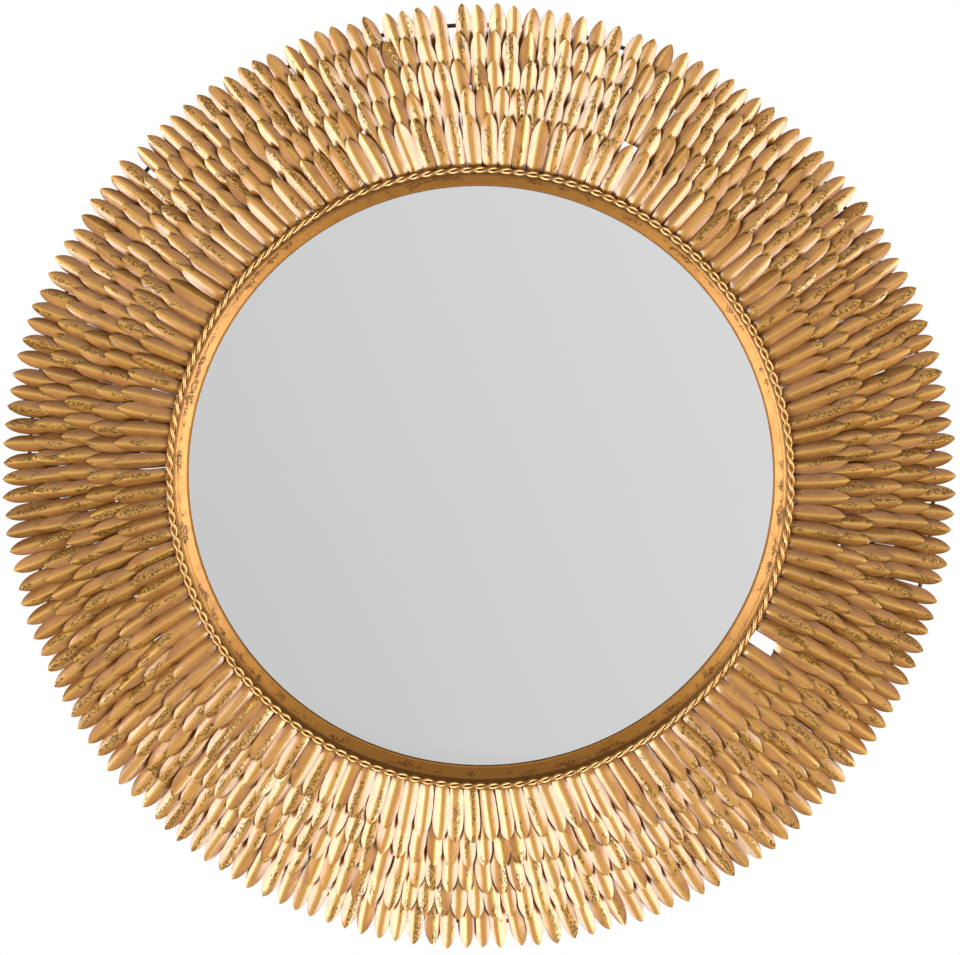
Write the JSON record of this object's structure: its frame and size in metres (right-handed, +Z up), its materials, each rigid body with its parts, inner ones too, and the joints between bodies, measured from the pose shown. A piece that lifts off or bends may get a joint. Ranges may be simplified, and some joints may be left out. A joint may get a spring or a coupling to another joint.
{
  "type": "convex wall mirror",
  "caption": "Large round convex wall mirror in a gilt metal collar with rope trim and overlapping rings of folded metal leaves.",
  "frame": {"origin": "middle of the wall plane, the plane that the four rubber bumpers touch, on the mirror's turning axis", "axes": "+Z up, glass faces -Y, +Y points into the wall, +X to the right seen from the front"},
  "size_m": [0.9204, 0.0479, 0.9204],
  "materials": {
    "silvered_glass": "clean convex silvered glass",
    "gilt_leaf": "aged gold leaf on folded sheet, satin, with brown speckle, yellow flecks and rubbed bright folds",
    "gilt_bezel": "aged gold leaf on spun sheet, satin, with black and brown speckle patches",
    "gilt_rope": "pale aged gold on twisted wire, satin",
    "dark_iron": "dark grey-brown lacquered iron rod and bar",
    "backing_board": "hardboard with a dark matt face",
    "gasket_rubber": "soft black foam rubber",
    "bumper_rubber": "matt black rubber",
    "zinc_steel": "zinc-plated steel, satin"
  },
  "bodies": {
    "frame": {"backing_board": "backing_board", "bezel_collar": "gilt_bezel", "board_clip_1": "zinc_steel", "board_clip_2": "zinc_steel", "board_clip_3": "zinc_steel", "board_clip_4": "zinc_steel", "board_clip_5": "zinc_steel", "board_clip_6": "zinc_steel", "board_clip_7": "zinc_steel", "board_clip_8": "zinc_steel", "clip_screw_1": "zinc_steel", "clip_screw_2": "zinc_steel", "clip_screw_3": "zinc_steel", "clip_screw_4": "zinc_steel", "clip_screw_5": "zinc_steel", "clip_screw_6": "zinc_steel", "clip_screw_7": "zinc_steel", "clip_screw_8": "zinc_steel", "hanger_screw_1": "zinc_steel", "hanger_screw_2": "zinc_steel", "hanger_screw_3": "zinc_steel", "hanger_screw_4": "zinc_steel", "hanger_strap_left": "zinc_steel", "hanger_strap_right": "zinc_steel", "leaf_hoop_1": "dark_iron", "leaf_hoop_2": "dark_iron", "leaf_hoop_3": "dark_iron", "leaf_hoop_4": "dark_iron", "leaf_hoop_5": "dark_iron", "leaf_row_1": "gilt_leaf", "leaf_row_2": "gilt_leaf", "leaf_row_3": "gilt_leaf", "leaf_row_4": "gilt_leaf", "leaf_row_5": "gilt_leaf", "mirror_glass": "silvered_glass", "outer_hoop": "dark_iron", "rim_gasket": "gasket_rubber", "rope_trim": "gilt_rope", "spoke_1": "dark_iron", "spoke_2": "dark_iron", "spoke_3": "dark_iron", "spoke_4": "dark_iron", "spoke_5": "dark_iron", "spoke_6": "dark_iron", "spoke_7": "dark_iron", "spoke_8": "dark_iron", "wall_bumper_1": "bumper_rubber", "wall_bumper_2": "bumper_rubber", "wall_bumper_3": "bumper_rubber", "wall_bumper_4": "bumper_rubber"},
    "ring_left": {"hanger_ring_left": "zinc_steel"},
    "ring_right": {"hanger_ring_right": "zinc_steel"}
  },
  "joints": [
    {"name": "ring_left_swing", "type": "hinge", "parent": "frame", "child": "ring_left", "pos_m": [-0.14, -0.005, 0.135], "axis": [1, 0, 0], "range_deg": [0, 180]},
    {"name": "ring_right_swing", "type": "hinge", "parent": "frame", "child": "ring_right", "pos_m": [0.14, -0.005, 0.135], "axis": [1, 0, 0], "range_deg": [0, 180]}
  ]
}
